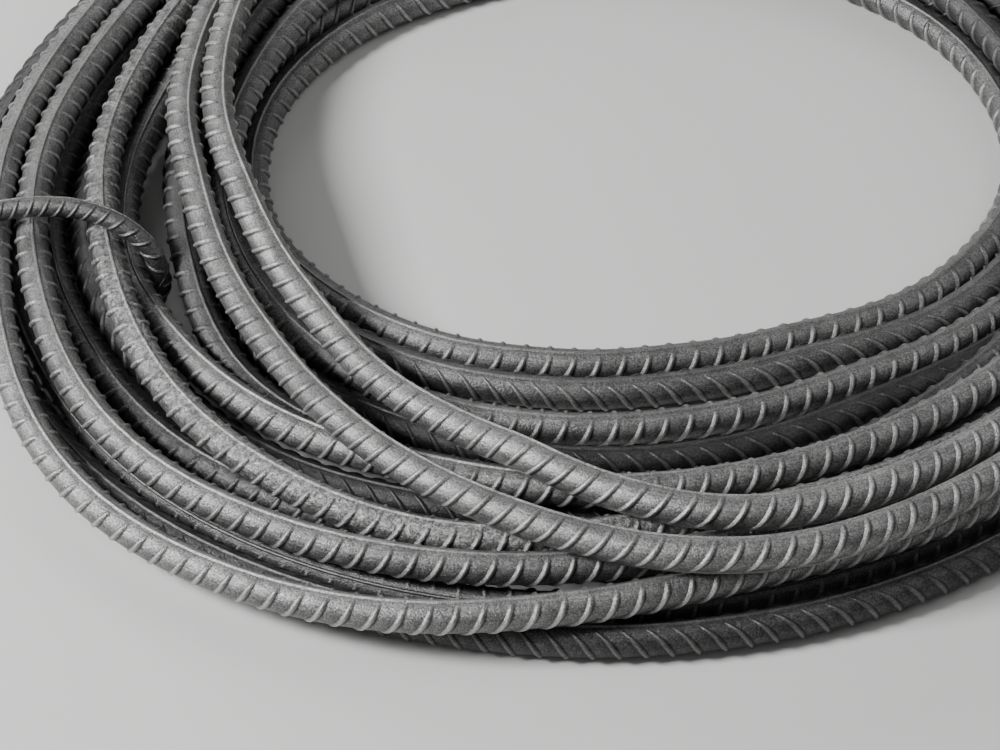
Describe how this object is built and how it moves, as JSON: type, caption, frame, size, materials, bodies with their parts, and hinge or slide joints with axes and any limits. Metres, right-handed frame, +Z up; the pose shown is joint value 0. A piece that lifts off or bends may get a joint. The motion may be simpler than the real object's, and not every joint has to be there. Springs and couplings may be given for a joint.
{
  "type": "coil of reinforcing bar",
  "caption": "Loose round coil of ribbed steel reinforcing bar, lying flat and held together at one side by a hoop bent from thinner bar.",
  "frame": {"origin": "on the floor, on the coil's axis", "axes": "+Z up along the coil's axis; -Y towards the side the picture was taken from; +X to the picture's right"},
  "size_m": [0.4757, 0.4757, 0.0422],
  "materials": {
    "bar": "hot-rolled steel with grey mill scale",
    "tie": "hot-rolled steel with grey mill scale"
  },
  "bodies": {
    "root": {"rebar_coil": "bar", "tie_hoop": "tie"}
  },
  "joints": []
}
